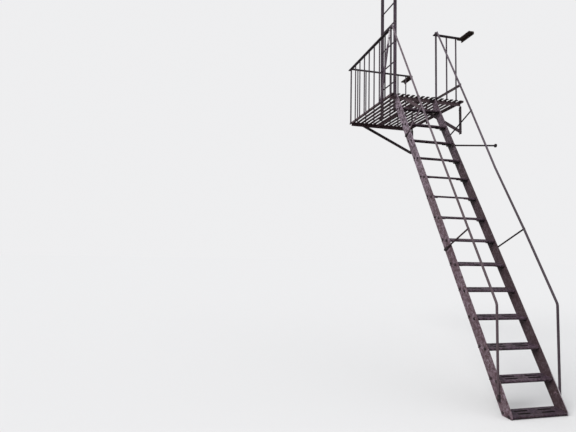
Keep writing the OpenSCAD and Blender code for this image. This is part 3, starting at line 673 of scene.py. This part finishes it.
# Roof ladder: flat rails with round rungs burred over through them. It stands on the balcony on
# two angle feet, is stayed to the wall, and its rails are spliced to bent bars that arch over
# the roof's edge.
# Beyond x -0.7 the far rail is painted darker than the near one.
ladder_paint = old_paint("mauve on the ladder",
                         (0.043, 0.026, 0.040), (0.080, 0.054, 0.076),
                         flaking=0.5, worn=0.5, streaks=0.45, shift=37,
                         places=[("X", -0.70, -0.90, (0.040, 0.027, 0.038), 0.65, 0)])
coat(ladder_paint, "ladder_rails", "ladder_rungs", "ladder_feet", "ladder_arches",
     "ladder_landings", "ladder_stays")

# Each rail's outward face, right then left, and the way out; then the ladder's levels.
ladder_sides, rail_y, rail_thickness = ((-0.575, 1), (-1.007, -1)), -0.684, 0.010
foot_bolt_z, foot_hole, first_rung, rung_pitch = 0.272, 0.030, 0.380, 0.305
stay_y, stay_z, stay_thickness, stay_hole = -0.666, 2.862, 0.008, 0.025
landing_y, landing_z, rail_top = 0.060, 3.146, 3.840
burr = [(0.0125, 0), (0.0120, 0.0022), (0.0085, 0.0040), (0, 0.0046)]
ladder_fixings = bmesh.new()
for k in range(12):
    for face, way in ladder_sides:
        at = (face, rail_y, first_rung + rung_pitch * k)
        turned(ladder_fixings, burr, at, (way, 0, 0), sides=14)
for face, way in ladder_sides:
    back = face - way * rail_thickness
    foot_x, foot_y = face + way * foot_hole, slat_middles[9]
    for bolt, tail, axis, spin in (
            ((face + way * angle_thickness, rail_y, foot_bolt_z), (back, rail_y, foot_bolt_z),
             Vector((way, 0, 0)), 0.3),
            ((foot_x, foot_y, slats_high.z + angle_thickness), (foot_x, foot_y, slats_low.z),
             Vector((0, 0, 1)), 0.1),
            ((face + way * stay_thickness, stay_y, stay_z), (back, stay_y, stay_z),
             Vector((way, 0, 0)), 0.5)):
        hex_head(ladder_fixings, bolt, axis, across=0.017, spin=spin)
        rivet(ladder_fixings, tail, -axis, radius=0.008)
    at = (face + way * stay_hole, -angle_thickness, stay_z)
    hex_nut(ladder_fixings, at, (0, -1, 0), anchor_across, spin=0.2)
    for off in (-0.0175, 0.0175):
        at = (face - way * rail_thickness / 2 + off, landing_y, landing_z)
        hex_nut(ladder_fixings, at, (0, 0, 1), across=0.015, spin=off, stud=0.005)
piece("ladder_fixings", ladder_fixings, fixing_paint)

splice_thickness, splice_outline = 0.005, round_ended(0.016, 0.040, 8)
rail_splices = bmesh.new()
for face, way in ladder_sides:
    back = face - way * rail_thickness
    inner_face = back - way * splice_thickness
    for y in (rail_y, landing_y):
        at = (min(back, inner_face), y, rail_top)
        plate(rail_splices, splice_outline, at, (0, 1, 0), (0, 0, 1), splice_thickness)
        for off in (-0.040, -0.014, 0.014, 0.040):
            rivet(rail_splices, (inner_face, y, rail_top + off), (-way, 0, 0), radius=0.007)
            rivet(rail_splices, (face, y, rail_top + off), (way, 0, 0), radius=0.007)
piece("rail_splices", rail_splices, ladder_paint)

# Floor, light and camera: a pale floor that the stair's foot stands on and that throws little
# light back up, a soft even sky, one broad lamp from the open side, and the camera low down on
# the open side of the stair.
floor_mesh = bmesh.new()
bmesh.ops.create_grid(floor_mesh, x_segments=1, y_segments=1, size=80)
floor_data = bpy.data.meshes.new("studio_floor")
floor_mesh.to_mesh(floor_data)
floor_mesh.free()
studio_floor = bpy.data.objects.new("studio_floor", floor_data)
studio_floor.location.z = cad_box[0].z - 0.001
bpy.context.scene.collection.objects.link(studio_floor)
floor_finish = Finish("pale studio floor", specular=0.0)
seen = floor_finish.node("ShaderNodeLightPath", out="Is Camera Ray")
thrown_back, seen_tone = (0.20, 0.185, 0.18), (0.695, 0.6905, 0.6775)
floor_finish.give(Base_Color=floor_finish.blend(seen, thrown_back, seen_tone))
floor_finish.shader.inputs["Roughness"].default_value = 1.0
floor_data.materials.append(floor_finish.material)

world = bpy.data.worlds.new("soft sky")
world.use_nodes = True
sky = world.node_tree
light_path = sky.nodes.new("ShaderNodeLightPath")
backdrop = sky.nodes.new("ShaderNodeMix")
backdrop.data_type = "RGBA"
sky_light, seen_sky = (0.84, 0.85, 0.89, 1), (0.86, 0.86, 0.87, 1)
backdrop.inputs[6].default_value = sky_light
backdrop.inputs[7].default_value = seen_sky
sky.links.new(light_path.outputs["Is Camera Ray"], backdrop.inputs[0])
sky.links.new(backdrop.outputs[2], sky.nodes["Background"].inputs["Color"])
bpy.context.scene.world = world

lamp_data = bpy.data.lights.new("broad lamp", "SUN")
lamp_data.energy = 2.0
lamp_data.angle = math.radians(35)
lamp = bpy.data.objects.new("broad_lamp", lamp_data)
lamp.rotation_mode = "QUATERNION"
lamp.rotation_quaternion = Vector((-0.45, 0.85, -0.75)).to_track_quat("-Z", "Y")
bpy.context.scene.collection.objects.link(lamp)

camera_data = bpy.data.cameras.new("camera")
focal_pixels, picture_width, sensor_width = 449.585, 576, 36
camera_data.sensor_width = sensor_width
camera_data.lens = focal_pixels / picture_width * sensor_width
camera = bpy.data.objects.new("camera", camera_data)
stand = Vector((5.28907, -3.69469, -1.85686))
forward = Vector((-0.96806, 0.23734, 0.08076)).normalized()
side = forward.cross(Vector((0.07329, -0.04013, 0.99650))).normalized()
top = side.cross(forward)
camera.matrix_world = Matrix.Translation(stand) @ Matrix((
    (side.x, top.x, -forward.x, 0), (side.y, top.y, -forward.y, 0),
    (side.z, top.z, -forward.z, 0), (0, 0, 0, 1)))
bpy.context.scene.collection.objects.link(camera)
bpy.context.scene.camera = camera
bpy.context.scene.view_settings.view_transform = "Standard"
